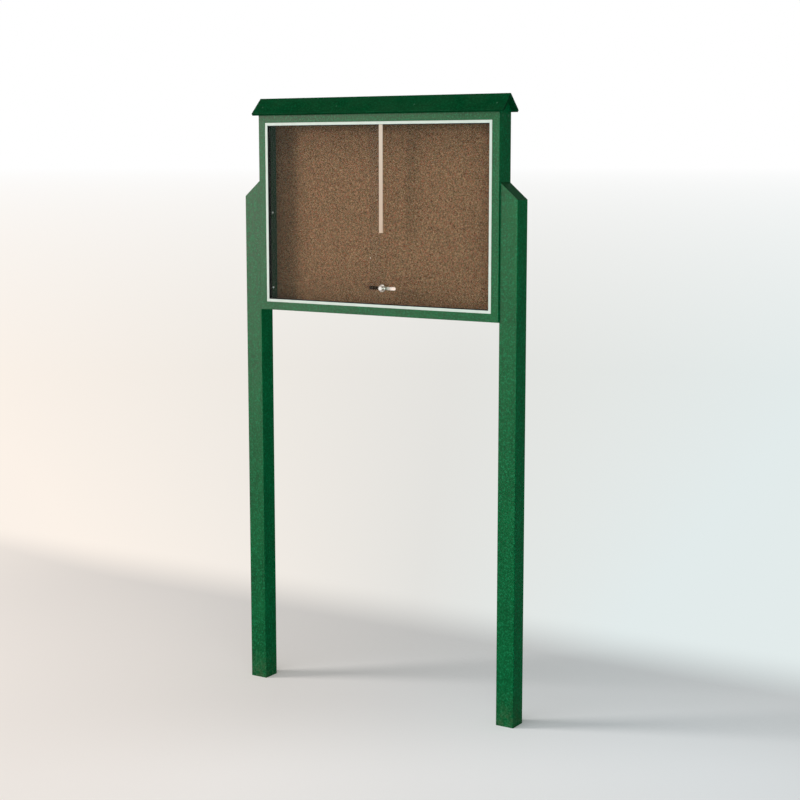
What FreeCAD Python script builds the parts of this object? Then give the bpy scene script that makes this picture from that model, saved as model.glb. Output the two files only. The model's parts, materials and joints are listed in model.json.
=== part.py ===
import FreeCAD, Part
import math
import os

from FreeCAD import Placement, Rotation, Vector

# Free-standing notice board: a glazed, lockable cork cabinet carried between two posts.
# Millimetres. X runs to the right seen from the front, the front faces -Y, Z is up, and the
# origin is on the ground midway between the posts.

INCH = 25.4

# Posts
POST_SIZE = 3.5 * INCH
POST_TIP_Z = 96 * INCH
POST_TOP_DROP = 3 * INCH
POST_EDGE_R = 3.0

# Cabinet boards
CABINET_WIDTH = 51 * INCH
CABINET_DEPTH = 4 * INCH
CABINET_BOTTOM_Z = 72 * INCH
BOARD_T = 1.5 * INCH
OPENING_HEIGHT = 33 * INCH
TOP_RAIL_HEIGHT = 2.5 * INCH
BOARD_EDGE_R = 1.6

# Roof
RIDGE_Z = 111 * INCH
ROOF_PITCH = math.radians(45)
ROOF_BOARD_WIDTH = 4 * INCH
ROOF_T = 0.5 * INCH
ROOF_LENGTH = 53 * INCH
ROOF_EDGE_R = 1.5

# Back panel and tackboard
BACK_T = 0.25 * INCH
BACK_LAP = 0.5 * INCH
BACK_PLAY = 0.4
CORK_T = 0.5 * INCH
CORK_PLAY = 0.5

# Sliding tracks and jambs, one dark double-channel section behind a flat white trim
TRACK_WALL = 1.6
GROOVE = 0.25 * INCH
DIVIDER = 0.125 * INCH
TRACK_FACE = 0.5 * INCH
BOTTOM_FLOOR = 0.25 * INCH
REAR_LIP = 3.2
CHAMBER_INSET = 0.9
TRIM_T = 1.6
TRIM_BEVEL = 0.5
BUMPER_T = 2.4
BUMPER_PLAY = 0.3

# Panes
PANE_T = 4.76
PANE_OVERLAP = 60.0
PANE_END_GAP = 0.3
PANE_LIFT = 7.4
PANE_EDGE = 0.6

# Pull strip on the leading edge of the front pane
STRIP_BOTTOM_Z = 2206.0
STRIP_LAP = 4.0
STRIP_REACH = 16.0
STRIP_WALL = 1.2
STRIP_LIP = 3.4

# Ratchet bar, hooked round the leading edge of the rear pane
BAR_Z = 1955.0
BAR_T = 1.6
BAR_HEIGHT = 15.0
BAR_END_X = 110.0
BAR_STANDOFF = 1.7
HOOK_LEG = 18.0
TOOTH_PITCH = 4.0
TOOTH_DEPTH = 2.4
TEETH_FROM_X = 28.0
BOOT_T = 0.6
BOOT_END_X = 18.0

# Lock case, plug and pawl
CASE_R = 11.0
COLLAR_R = 17.0
COLLAR_T = 3.0
CASE_FRONT_Y = -65.2
CASE_GAP = 0.3
RIM_BEVEL = 1.0
BASE_INSET = 0.5
SLOT_PLAY = 0.2
BACK_PLATE_T = 1.1
CLIP_R = 8.5
CLIP_T = 0.7
CLIP_Y = -53.6
CLIP_PLAY = 0.05
CLIP_SEAT = 0.6
CLIP_SEAT_R = 8.9
CLIP_GROOVE_R = 5.8
PLUG_R = 7.0
PLUG_HEAD_R = 8.0
PLUG_HEAD_T = 1.5
PLUG_TAIL_Y = -52.5
PLUG_RUN = 0.05
CRANK_R = 1.7
CRANK_PIN_R = 1.5
CRANK_END_Y = -46.5
KEYWAY_W = 1.8
KEYWAY_H = 8.0
KEYWAY_END_Y = -54.2
WAFER_FIRST_Y = -62.8
WAFER_STEP = 2.4
WAFER_COUNT = 4
WAFER_T = 1.0
WAFER_W = 5.8
WAFER_H = 12.4
WAFER_PLAY = 0.1
WINDOW_W = 2.4
WINDOW_H = 8.4
PAWL_ROOM_Y = -51.0
PAWL_ROOM_DOWN = 8.4
PAWL_ROOM_UP = 12.2
PAWL_W = 8.0
PAWL_CLEAR = 0.15
PAWL_FOOT = 5.6
PAWL_TOP = 11.0
PAWL_FACE_PLAY = 0.6
NOSE_LIFT = 0.3
NOSE_FLANK = 3.4
NOSE_W = 4.5

# Fasteners
LAG_R = 0.125 * INCH
LAG_LENGTH = 3.5 * INCH
LAG_HEAD_R = 0.1875 * INCH
LAG_HEAD_T = 3.4
LAG_HEIGHTS = (76 * INCH, 90 * INCH)
LAG_PLAY = 0.4
PILOT_PLAY = 0.05
SCREW_PROUD = 0.4
# length, shank radius, head radius
CORNER_SCREW = (80.0, 2.4, 4.8)
BACK_SCREW = (25.0, 1.8, 3.6)
ROOF_SCREW = (32.0, 2.0, 4.0)
CORNER_SCREW_Y = 25.0
ROOF_SCREW_Y = 42.0
BACK_SCREW_X = (-400.0, 0.0, 400.0)
BACK_SCREW_FROM_END = 180.0

# Sizes worked out from those above
half_w = CABINET_WIDTH / 2
half_d = CABINET_DEPTH / 2
inner_x = half_w - BOARD_T
open_low_z = CABINET_BOTTOM_Z + BOARD_T
open_high_z = open_low_z + OPENING_HEIGHT
roof_under_drop = ROOF_T / math.cos(ROOF_PITCH)
under_ridge_z = RIDGE_Z - roof_under_drop
shoulder_z = under_ridge_z - half_d * math.tan(ROOF_PITCH)
back_y = half_d - BACK_T
cork_y = back_y - CORK_T

front_face_y = -half_d
groove_f = front_face_y + TRACK_WALL
groove_r = groove_f + GROOVE + DIVIDER
track_rear_y = groove_r + GROOVE + TRACK_WALL
pane_f_y = groove_f + (GROOVE - PANE_T) / 2
pane_r_y = groove_r + (GROOVE - PANE_T) / 2
pane_low_z = open_low_z + BOTTOM_FLOOR + PANE_END_GAP
pane_high_z = open_high_z - TRACK_WALL - PANE_LIFT
pane_far_x = inner_x - TRACK_WALL - BUMPER_T - PANE_END_GAP
lead_x = PANE_OVERLAP / 2

bar_back_y = pane_r_y - BAR_STANDOFF
bar_front_y = bar_back_y - BAR_T
lock_x = lead_x + CASE_GAP + CASE_R
collar_back_y = pane_f_y - CASE_GAP
plate_front_y = bar_back_y + SLOT_PLAY
hook_x = -lead_x - BOOT_T
tooth_zero_x = lock_x + 1.5
crank_x = CRANK_R * math.cos(math.radians(45))
crank_z = CRANK_R * math.sin(math.radians(45))


def box(x0, x1, y0, y1, z0, z1):
    return Part.makeBox(x1 - x0, y1 - y0, z1 - z0, Vector(x0, y0, z0))


def prism(points, along):
    """A closed outline of 3-D points, swept along a vector."""
    corners = [Vector(*p) for p in points]
    return Part.Face(Part.makePolygon(corners + corners[:1])).extrude(Vector(*along))


def rod(radius, start, along, length):
    return Part.makeCylinder(radius, length, Vector(*start), Vector(*along))


def eased(shape, radius, wanted):
    """Round the straight edges that a test on their two ends picks."""
    edges = [e for e in shape.Edges if len(e.Vertexes) == 2
             and wanted(e.Vertexes[0].Point, e.Vertexes[1].Point)]
    return shape.makeFillet(radius, edges)


def runs_along(axis, at_least):
    """Edge test: the edge follows one axis and is long."""
    def test(a, b):
        step = b - a
        others = [abs(step[k]) for k in range(3) if k != axis]
        return abs(step[axis]) > at_least and max(others) < 0.01
    return test


def mirrored_x(shape):
    return shape.mirror(Vector(0, 0, 0), Vector(1, 0, 0))


def turned(outline, at, along):
    """Radius and depth pairs, spun about the axis that starts at a point."""
    corners = [Vector(r, 0, depth) for r, depth in outline]
    shape = Part.Face(Part.makePolygon(corners + corners[:1])).revolve(
        Vector(0, 0, 0), Vector(0, 0, 1), 360)
    shape.Placement = Placement(Vector(*at), Rotation(Vector(0, 0, 1), Vector(*along)))
    return shape


def flat_head_screw(at, along, size, proud):
    """Countersunk screw driven into a face at a point, its head standing a little proud."""
    length, shank_r, head_r = size
    head_t = head_r - shank_r
    return turned([(0, -proud), (head_r, -proud), (shank_r, head_t - proud), (shank_r, length),
                   (0, length)], at, along)


def corner_screws():
    """Through the side boards into the ends of the rails; the posts cover the lower ones."""
    spec = []
    for side in (-1, 1):
        for y in (-CORNER_SCREW_Y, CORNER_SCREW_Y):
            spec.append(((side * half_w, y, CABINET_BOTTOM_Z + BOARD_T / 2), (-side, 0, 0), 0))
            spec.append(((side * half_w, y, open_high_z + BOARD_T / 2), (-side, 0, 0), SCREW_PROUD))
    return Part.makeCompound([flat_head_screw(at, along, CORNER_SCREW, proud)
                              for at, along, proud in spec])


def back_screws():
    """Round the edge of the back panel, into the boards."""
    inset = BACK_LAP / 2
    end = BACK_SCREW_FROM_END
    places = [(side * (inner_x + inset), z) for side in (-1, 1)
              for z in (open_low_z + end, open_high_z - end)]
    places += [(x, z) for x in BACK_SCREW_X for z in (open_low_z - inset, open_high_z + inset)]
    return Part.makeCompound([flat_head_screw((x, half_d, z), (0, -1, 0), BACK_SCREW, SCREW_PROUD)
                              for x, z in places])


def roof_screws():
    """Square to the slope, into the top rail and the gable tops of the side boards."""
    y = ROOF_SCREW_Y
    z = RIDGE_Z - y * math.tan(ROOF_PITCH)
    x_end = half_w - BOARD_T / 2
    return Part.makeCompound([flat_head_screw((x, side * y, z), (0, -side, -1), ROOF_SCREW,
                                              SCREW_PROUD)
                              for side in (-1, 1) for x in (-x_end, -x_end / 3, x_end / 3, x_end)])


def post():
    """Left post, its top sawn down towards the outside."""
    outer, inner = -half_w - POST_SIZE, -half_w
    y = -POST_SIZE / 2
    outline = [(outer, y, 0), (inner, y, 0), (inner, y, POST_TIP_Z),
               (outer, y, POST_TIP_Z - POST_TOP_DROP)]
    shape = eased(prism(outline, (0, POST_SIZE, 0)), POST_EDGE_R, runs_along(2, 100))
    for z in LAG_HEIGHTS:
        reach = LAG_LENGTH - BOARD_T
        shape = shape.cut(rod(LAG_R + PILOT_PLAY, (inner + 1, 0, z), (-1, 0, 0), reach + 2))
    return shape


def side_board():
    """Left side board: gable top, rabbet for the back panel, clearance for the lag screws."""
    y, low = half_d, CABINET_BOTTOM_Z
    outline = [(-half_w, -y, low), (-half_w, y, low), (-half_w, y, shoulder_z),
               (-half_w, 0, under_ridge_z), (-half_w, -y, shoulder_z)]
    shape = eased(prism(outline, (BOARD_T, 0, 0)), BOARD_EDGE_R, runs_along(2, 100))
    shape = shape.cut(back_pocket())
    for z in LAG_HEIGHTS:
        shape = shape.cut(rod(LAG_R + LAG_PLAY, (-half_w - 1, 0, z), (1, 0, 0), BOARD_T + 2))
    return shape


def back_pocket():
    lap = BACK_LAP + BACK_PLAY
    return box(-inner_x - lap, inner_x + lap, back_y, half_d + 1, open_low_z - lap,
               open_high_z + lap)


def top_rail():
    """Rail over the opening, its top edges sawn to the slope of the roof."""
    top = open_high_z + TOP_RAIL_HEIGHT
    crown = (under_ridge_z - top) / math.tan(ROOF_PITCH)
    y = half_d
    outline = [(-inner_x, -y, open_high_z), (-inner_x, y, open_high_z), (-inner_x, y, shoulder_z),
               (-inner_x, crown, top), (-inner_x, -crown, top), (-inner_x, -y, shoulder_z)]
    return prism(outline, (2 * inner_x, 0, 0)).cut(back_pocket())


def bottom_rail():
    low = CABINET_BOTTOM_Z
    shape = box(-inner_x, inner_x, -half_d, half_d, low, open_low_z)

    def lower_edge(a, b):
        return runs_along(0, 100)(a, b) and a.z < low + 1
    return eased(shape, BOARD_EDGE_R, lower_edge).cut(back_pocket())


def roof_board():
    """Front roof board, plumb-cut at the ridge and square-cut at the eave."""
    run, fall = ROOF_BOARD_WIDTH * math.cos(ROOF_PITCH), ROOF_BOARD_WIDTH * math.sin(ROOF_PITCH)
    in_y, in_z = ROOF_T * math.sin(ROOF_PITCH), ROOF_T * math.cos(ROOF_PITCH)
    x = -ROOF_LENGTH / 2
    outline = [(x, 0, RIDGE_Z), (x, -run, RIDGE_Z - fall), (x, -run + in_y, RIDGE_Z - fall - in_z),
               (x, 0, under_ridge_z)]

    def eave_edge(a, b):
        return runs_along(0, 100)(a, b) and a.y < -run / 2
    return eased(prism(outline, (ROOF_LENGTH, 0, 0)), ROOF_EDGE_R, eave_edge)


def back_panel():
    lap = BACK_LAP
    return box(-inner_x - lap, inner_x + lap, back_y, half_d, open_low_z - lap, open_high_z + lap)


def cork_board():
    p = CORK_PLAY
    return box(-inner_x + p, inner_x - p, cork_y, back_y, open_low_z + p, open_high_z - p)


def channel(floor, length, chambers=False):
    """Track section swept along +X: a floor at Z = 0 that carries the divider and a taller rear
    wall; the trim closes the front groove."""
    shape = box(0, length, groove_f, track_rear_y, 0, TRACK_FACE + REAR_LIP)
    shape = shape.cut(box(-1, length + 1, groove_f - 1, groove_f + GROOVE, floor, 50))
    shape = shape.cut(box(-1, length + 1, groove_r, groove_r + GROOVE, floor, 50))
    shape = shape.cut(box(-1, length + 1, groove_f, groove_r, TRACK_FACE, 50))
    if chambers:
        for start in (groove_f, groove_r):
            shape = shape.cut(box(-1, length + 1, start + CHAMBER_INSET,
                                  start + GROOVE - CHAMBER_INSET, TRACK_WALL, floor - TRACK_WALL))
    return shape


def track_bottom():
    """Shallow grooves on a hollow base, so that a pane can be lifted out over the front."""
    shape = channel(BOTTOM_FLOOR, 2 * inner_x, chambers=True)
    shape.translate(Vector(-inner_x, 0, open_low_z))
    return shape


def track_top():
    """Deep grooves that take up the lift of a pane."""
    shape = channel(TRACK_WALL, 2 * inner_x).mirror(Vector(0, 0, 0), Vector(0, 0, 1))
    shape.translate(Vector(-inner_x, 0, open_high_z))
    return shape


def jamb():
    """Left jamb: the top track's section upright, notched over the tracks' rear walls."""
    shape = channel(TRACK_WALL, OPENING_HEIGHT - 2 * TRACK_FACE)
    # the sweep turns from X to Z, then the open side from -X to +X
    shape.rotate(Vector(0, 0, 0), Vector(0, 1, 0), -90)
    shape = shape.mirror(Vector(0, 0, 0), Vector(1, 0, 0))
    shape.translate(Vector(-inner_x, 0, open_low_z + TRACK_FACE))
    return shape.cut(track_top()).cut(track_bottom())


def trim(corners, inner_edge):
    """Flat white bar over the front of a track, mitred, with a bevel on its inner edge."""
    shape = prism([(x, front_face_y, z) for x, z in corners], (0, TRIM_T, 0))
    edge = [e for e in shape.Edges if abs(e.CenterOfMass.y - front_face_y) < 0.01
            and inner_edge(e.Vertexes[0].Point) and inner_edge(e.Vertexes[1].Point)]
    return shape.makeChamfer(TRIM_BEVEL, edge)


def trim_level(outer_z, inward):
    """Top or bottom trim, from its outer edge towards the opening."""
    inner_z = outer_z + inward * TRACK_FACE
    x0, x1 = inner_x, inner_x - TRACK_FACE
    return trim([(-x0, outer_z), (x0, outer_z), (x1, inner_z), (-x1, inner_z)],
                lambda p: abs(p.z - inner_z) < 0.01)


def trim_left():
    x0, x1 = -inner_x, -inner_x + TRACK_FACE
    low, high = open_low_z, open_high_z
    return trim([(x0, low), (x0, high), (x1, high - TRACK_FACE), (x1, low + TRACK_FACE)],
                lambda p: abs(p.x - x1) < 0.01)


def bumper(groove_y):
    """Soft strip on the floor of the left jamb's groove."""
    play = BUMPER_PLAY
    x = -inner_x + TRACK_WALL
    return box(x, x + BUMPER_T, groove_y + play, groove_y + GROOVE - play,
               open_low_z + TRACK_FACE + 1, open_high_z - TRACK_FACE - 1)


def pane(x0, x1, y0):
    shape = box(x0, x1, y0, y0 + PANE_T, pane_low_z, pane_high_z)
    edges = [e for e in shape.Edges if runs_along(2, 100)(e.Vertexes[0].Point, e.Vertexes[1].Point)]
    return shape.makeChamfer(PANE_EDGE, edges)


def pull_strip():
    """Extrusion that grips the front pane's leading edge and stands past it as a finger pull."""
    w = STRIP_WALL
    low, high = STRIP_BOTTOM_Z, open_high_z - TRACK_FACE - 1
    front, rear = pane_f_y, pane_f_y + PANE_T
    left, right = lead_x - STRIP_LAP, lead_x + STRIP_REACH
    shape = box(left, right, front - w, front, low, high)
    shape = shape.fuse(box(lead_x, lead_x + w, front - w, rear + w, low, high))
    shape = shape.fuse(box(left, lead_x + w, rear, rear + w, low, high))
    shape = shape.fuse(box(right - w, right, front - w, front + STRIP_LIP - w, low, high))
    shape = shape.removeSplitter()

    def front_corner(a, b):
        return runs_along(2, 100)(a, b) and a.y < front - w + 0.01
    return eased(shape, w * 0.6, front_corner)


def bar_outline():
    """Flat bar with a J hook, seen from above, as a swept face."""
    outer_x = hook_x - BAR_T
    leg_y = pane_r_y + PANE_T + BOOT_T
    points = [(BAR_END_X, bar_front_y), (outer_x, bar_front_y), (outer_x, leg_y + BAR_T),
              (outer_x + HOOK_LEG, leg_y + BAR_T), (outer_x + HOOK_LEG, leg_y),
              (hook_x, leg_y), (hook_x, bar_back_y), (BAR_END_X, bar_back_y)]
    low = BAR_Z - BAR_HEIGHT / 2
    return prism([(x, y, low) for x, y in points], (0, 0, BAR_HEIGHT))


def ratchet_bar():
    """Hooked bar with a round free end and sawteeth that stop the lock case moving off."""
    shape = bar_outline()

    def bend(a, b):
        return runs_along(2, 10)(a, b) and a.x < hook_x - BAR_T + 0.01
    shape = eased(shape, BAR_T * 0.9, bend)
    top = BAR_Z + BAR_HEIGHT / 2
    low = BAR_Z - BAR_HEIGHT / 2
    r = BAR_HEIGHT / 2
    end = box(BAR_END_X - r, BAR_END_X + 1, bar_front_y - 1, bar_back_y + 1, low - 1, top + 1)
    end = end.cut(rod(r, (BAR_END_X - r, bar_front_y - 2, BAR_Z), (0, 1, 0), BAR_T + 4))
    shape = shape.cut(end)
    # a notch slopes down from one tip to the foot of the next, so each tooth faces +X upright
    first = math.ceil((TEETH_FROM_X - tooth_zero_x) / TOOTH_PITCH)
    count = int((BAR_END_X - r - tooth_zero_x) / TOOTH_PITCH) - first
    y = bar_front_y - 1
    notches = []
    for k in range(first, first + count):
        x0 = tooth_zero_x + k * TOOTH_PITCH
        x1 = x0 + TOOTH_PITCH
        notches.append(prism([(x0, y, top + 0.01), (x1, y, top - TOOTH_DEPTH),
                              (x1, y, top + 0.01)], (0, BAR_T + 2, 0)))
    return shape.cut(Part.makeCompound(notches))


def hook_boot():
    """Moulded soft boot over the hooked end, so that metal never bears on the pane."""
    t = BOOT_T
    leg_y = pane_r_y + PANE_T
    outer_x = hook_x - BAR_T - t
    low, high = BAR_Z - BAR_HEIGHT / 2 - t, BAR_Z + BAR_HEIGHT / 2 + t
    back = leg_y + t + BAR_T + t
    leg_x = hook_x - BAR_T + HOOK_LEG + t
    shape = box(outer_x, BOOT_END_X, bar_front_y - t, bar_back_y + t / 2, low, high)
    shape = shape.fuse(box(outer_x, -lead_x, bar_front_y - t, back, low, high))
    shape = shape.fuse(box(outer_x, leg_x, leg_y, back, low, high))
    shape = shape.fuse(box(outer_x, leg_x, bar_back_y, pane_r_y, low, high))
    return shape.removeSplitter().cut(bar_outline())


def case_slab(y0, y1):
    """Base of the case: a round block with flat sides that clear the edge of the front pane."""
    r = COLLAR_R - BASE_INSET
    disc = rod(r, (lock_x, y0, BAR_Z), (0, 1, 0), y1 - y0)
    return disc.common(box(lock_x - CASE_R, lock_x + CASE_R, y0 - 1, y1 + 1, BAR_Z - r, BAR_Z + r))


def lock_case():
    """Turned case with a wide collar in front of the pane and a slotted base behind it."""
    collar_front_y = collar_back_y - COLLAR_T
    barrel = rod(CASE_R, (lock_x, CASE_FRONT_Y, BAR_Z), (0, 1, 0), collar_back_y - CASE_FRONT_Y)
    rim = [e for e in barrel.Edges if abs(e.CenterOfMass.y - CASE_FRONT_Y) < 0.01 and e.Closed]
    barrel = barrel.makeChamfer(RIM_BEVEL, rim)
    collar = rod(COLLAR_R, (lock_x, collar_front_y, BAR_Z), (0, 1, 0), COLLAR_T)
    rim = [e for e in collar.Edges if abs(e.CenterOfMass.y - collar_front_y) < 0.01 and e.Closed]
    collar = collar.makeChamfer(RIM_BEVEL, rim)
    shape = barrel.fuse(collar).fuse(case_slab(collar_back_y, plate_front_y))
    shape = shape.removeSplitter()
    # plug bore, head seat and clip seat
    clip_seat_y = CLIP_Y - CLIP_SEAT
    for radius, y0, y1 in ((PLUG_R + PLUG_RUN, CASE_FRONT_Y - 1, PAWL_ROOM_Y),
                           (PLUG_HEAD_R + 0.1, CASE_FRONT_Y - 1, CASE_FRONT_Y + PLUG_HEAD_T + 0.1),
                           (CLIP_SEAT_R, clip_seat_y, PAWL_ROOM_Y)):
        shape = shape.cut(rod(radius, (lock_x, y0, BAR_Z), (0, 1, 0), y1 - y0))
    # room for the pawl, and the slot that the bar runs through
    w = PAWL_W / 2 + PAWL_CLEAR
    shape = shape.cut(box(lock_x - w, lock_x + w, PAWL_ROOM_Y - 0.01, plate_front_y + 1,
                          BAR_Z - PAWL_ROOM_DOWN, BAR_Z + PAWL_ROOM_UP))
    h = BAR_HEIGHT / 2 + SLOT_PLAY
    return shape.cut(box(lock_x - COLLAR_R, lock_x + COLLAR_R, bar_front_y - SLOT_PLAY,
                         plate_front_y + 1, BAR_Z - h, BAR_Z + h))


def lock_back_plate():
    """Plate staked over the rear of the case, behind the bar."""
    return case_slab(plate_front_y, plate_front_y + BACK_PLATE_T)


def wafer_ys():
    return [WAFER_FIRST_Y + k * WAFER_STEP for k in range(WAFER_COUNT)]


def lock_plug():
    """Key plug with keyway, wafer slots, clip groove and the crank pin on its tail."""
    shape = rod(PLUG_R, (lock_x, CASE_FRONT_Y + 0.1, BAR_Z), (0, 1, 0),
                PLUG_TAIL_Y - CASE_FRONT_Y - 0.1)
    shape = shape.fuse(rod(PLUG_HEAD_R, (lock_x, CASE_FRONT_Y + 0.1, BAR_Z), (0, 1, 0),
                           PLUG_HEAD_T - 0.1))
    wide = CLIP_T + 2 * CLIP_PLAY
    groove = rod(PLUG_R + 1, (lock_x, CLIP_Y, BAR_Z), (0, 1, 0), wide)
    shape = shape.cut(groove.cut(rod(CLIP_GROOVE_R, (lock_x, CLIP_Y, BAR_Z), (0, 1, 0), wide)))
    shape = shape.cut(box(lock_x - KEYWAY_W / 2, lock_x + KEYWAY_W / 2, CASE_FRONT_Y - 1,
                          KEYWAY_END_Y, BAR_Z - KEYWAY_H / 2, BAR_Z + KEYWAY_H / 2))
    w = WAFER_W / 2 + WAFER_PLAY
    for y in wafer_ys():
        shape = shape.cut(box(lock_x - w, lock_x + w, y, y + WAFER_T + WAFER_PLAY,
                              BAR_Z - PLUG_HEAD_R, BAR_Z + PLUG_HEAD_R))
    pin = rod(CRANK_PIN_R, (lock_x + crank_x, PLUG_TAIL_Y, BAR_Z + crank_z), (0, 1, 0),
              CRANK_END_Y - PLUG_TAIL_Y)
    return shape.fuse(pin)


def plug_wafers():
    """Brass wafers across the plug, each with a window for the key."""
    def upright(width, height, y0, y1):
        return box(lock_x - width / 2, lock_x + width / 2, y0, y1, BAR_Z - height / 2,
                   BAR_Z + height / 2)
    plates = []
    for y in wafer_ys():
        y0 = y + WAFER_PLAY / 2
        window = upright(WINDOW_W, WINDOW_H, y - 1, y + WAFER_T + 1)
        plates.append(upright(WAFER_W, WAFER_H, y0, y0 + WAFER_T).cut(window))
    return Part.makeCompound(plates)


def plug_clip():
    """Open ring in the plug's groove."""
    y = CLIP_Y + CLIP_PLAY
    mouth = CLIP_GROOVE_R / 2
    ring = rod(CLIP_R, (lock_x, y, BAR_Z), (0, 1, 0), CLIP_T)
    ring = ring.cut(rod(CLIP_GROOVE_R + 0.1, (lock_x, y - 1, BAR_Z), (0, 1, 0), CLIP_T + 2))
    return ring.cut(box(lock_x - 2 * CLIP_R, lock_x, y - 1, y + 2, BAR_Z - mouth, BAR_Z + mouth))


def lock_pawl():
    """Hooked slider: the crank pin works in its window, its nose drops into the teeth."""
    top = BAR_Z + PAWL_TOP
    w = PAWL_W / 2
    y0 = bar_front_y - PAWL_FACE_PLAY
    shape = box(lock_x - w, lock_x + w, PAWL_ROOM_Y + PAWL_FACE_PLAY / 2, y0, BAR_Z - PAWL_FOOT, top)
    nose_low = BAR_Z + BAR_HEIGHT / 2 + NOSE_LIFT
    heel = nose_low + NOSE_FLANK * TOOTH_DEPTH / TOOTH_PITCH
    tip_x = tooth_zero_x - PAWL_CLEAR
    nose = [(tip_x, y0, nose_low), (tip_x, y0, top), (tip_x - NOSE_W, y0, top),
            (tip_x - NOSE_W, y0, heel), (tip_x - NOSE_FLANK, y0, heel)]
    shape = shape.fuse(prism(nose, (0, bar_back_y - y0, 0))).removeSplitter()
    # the window is wide enough for the pin's whole quarter turn
    half = CRANK_PIN_R + 0.12
    return shape.cut(box(lock_x - 1.9, lock_x + CRANK_R + CRANK_PIN_R + 0.15, PAWL_ROOM_Y - 1,
                         CRANK_END_Y + 0.5, BAR_Z + crank_z - half, BAR_Z + crank_z + half))


def lag_screws():
    """Long pan-head screws, driven from inside the cabinet into the left post."""
    r, t = LAG_HEAD_R, LAG_HEAD_T
    outline = [(0, -t), (0.55 * r, -0.93 * t), (0.88 * r, -0.65 * t), (r, -0.25 * t), (r, 0),
               (LAG_R, 0), (LAG_R, LAG_LENGTH), (0, LAG_LENGTH)]
    return Part.makeCompound([turned(outline, (-inner_x, 0, z), (-1, 0, 0)) for z in LAG_HEIGHTS])


left_lags = lag_screws()
left_jamb = jamb()
left_side = side_board()
left_post = post()
front_roof = roof_board()
left_trim = trim_left()

nodes = {
    "post_left": left_post,
    "post_right": mirrored_x(left_post),
    "side_board_left": left_side,
    "side_board_right": mirrored_x(left_side),
    "top_rail": top_rail(),
    "bottom_rail": bottom_rail(),
    "roof_board_front": front_roof,
    "roof_board_rear": front_roof.mirror(Vector(0, 0, 0), Vector(0, 1, 0)),
    "back_panel": back_panel(),
    "cork_board": cork_board(),
    "track_top": track_top(),
    "track_bottom": track_bottom(),
    "jamb_left": left_jamb,
    "jamb_right": mirrored_x(left_jamb),
    "trim_top": trim_level(open_high_z, -1),
    "trim_bottom": trim_level(open_low_z, 1),
    "trim_left": left_trim,
    "trim_right": mirrored_x(left_trim),
    "bumper_left": bumper(groove_f),
    "bumper_right": mirrored_x(bumper(groove_r)),
    "lag_screws_left": left_lags,
    "lag_screws_right": mirrored_x(left_lags),
    "corner_screws": corner_screws(),
    "back_screws": back_screws(),
    "roof_screws": roof_screws(),
    "pane_front": pane(-pane_far_x, lead_x, pane_f_y),
    "pull_strip": pull_strip(),
    "pane_rear": pane(-lead_x, pane_far_x, pane_r_y),
    "ratchet_bar": ratchet_bar(),
    "hook_boot": hook_boot(),
    "lock_case": lock_case(),
    "lock_back_plate": lock_back_plate(),
    "lock_plug": lock_plug(),
    "plug_wafers": plug_wafers(),
    "plug_clip": plug_clip(),
    "lock_pawl": lock_pawl(),
}

os.makedirs("parts", exist_ok=True)
for name, shape in nodes.items():
    shape.exportStep("parts/" + name + ".step")
    print(f"{name:20s} solids {len(shape.Solids)}  volume {shape.Volume / 1000:.1f} cm3  "
          f"valid {shape.isValid()}")
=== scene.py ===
import json
import math

import bmesh
import bpy
from mathutils import Matrix, Vector

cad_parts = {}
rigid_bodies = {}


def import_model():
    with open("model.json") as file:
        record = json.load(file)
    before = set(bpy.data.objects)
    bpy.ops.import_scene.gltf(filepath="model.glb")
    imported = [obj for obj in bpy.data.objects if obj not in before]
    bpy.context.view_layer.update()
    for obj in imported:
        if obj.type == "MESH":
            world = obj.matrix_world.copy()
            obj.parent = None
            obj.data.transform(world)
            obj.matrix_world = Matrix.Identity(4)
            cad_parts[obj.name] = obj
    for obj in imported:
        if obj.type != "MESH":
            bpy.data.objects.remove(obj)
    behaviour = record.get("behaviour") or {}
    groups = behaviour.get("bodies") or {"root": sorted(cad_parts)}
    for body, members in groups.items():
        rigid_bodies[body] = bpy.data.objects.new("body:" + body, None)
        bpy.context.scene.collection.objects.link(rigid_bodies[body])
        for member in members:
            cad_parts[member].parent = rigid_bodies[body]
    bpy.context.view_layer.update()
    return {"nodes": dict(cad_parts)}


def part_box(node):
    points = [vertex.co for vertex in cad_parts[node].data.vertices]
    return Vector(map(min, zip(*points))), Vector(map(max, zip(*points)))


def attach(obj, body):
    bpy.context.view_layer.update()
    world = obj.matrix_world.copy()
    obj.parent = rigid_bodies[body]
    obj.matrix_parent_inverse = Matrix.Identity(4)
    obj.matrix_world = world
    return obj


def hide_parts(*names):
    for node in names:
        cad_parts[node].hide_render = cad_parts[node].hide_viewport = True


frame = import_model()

# Dressing for a free-standing notice board: two posts, a gabled cabinet, sliding panes, a lock.
# Metres, on the frame's own axes: X to the right, the panes face -Y, Z up.

scene = bpy.context.scene
nodes = frame["nodes"]
print("frame loaded with", len(nodes), "nodes")


# camera

photoView = {
    "place": (4.161685, -6.401313, 2.541001),
    "yaw": 32.349,       # degrees turned left of straight back
    "pitch": -8.263,
    "roll": -0.022,
    "lens": 74.8965,     # mm on the 36 mm sensor
}

cameraData = bpy.data.cameras.new("photoCamera")
cameraData.sensor_width = 36
cameraData.lens = photoView["lens"]
camera = bpy.data.objects.new("photoCamera", cameraData)
camera.matrix_world = (
    Matrix.Translation(photoView["place"])
    @ Matrix.Rotation(math.radians(photoView["yaw"]), 4, "Z")
    @ Matrix.Rotation(math.radians(90 + photoView["pitch"]), 4, "X")
    @ Matrix.Rotation(math.radians(photoView["roll"]), 4, "Z")
)
scene.collection.objects.link(camera)
scene.camera = camera
scene.view_settings.view_transform = "Standard"
print("camera placed")


# small helpers for shader trees

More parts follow.
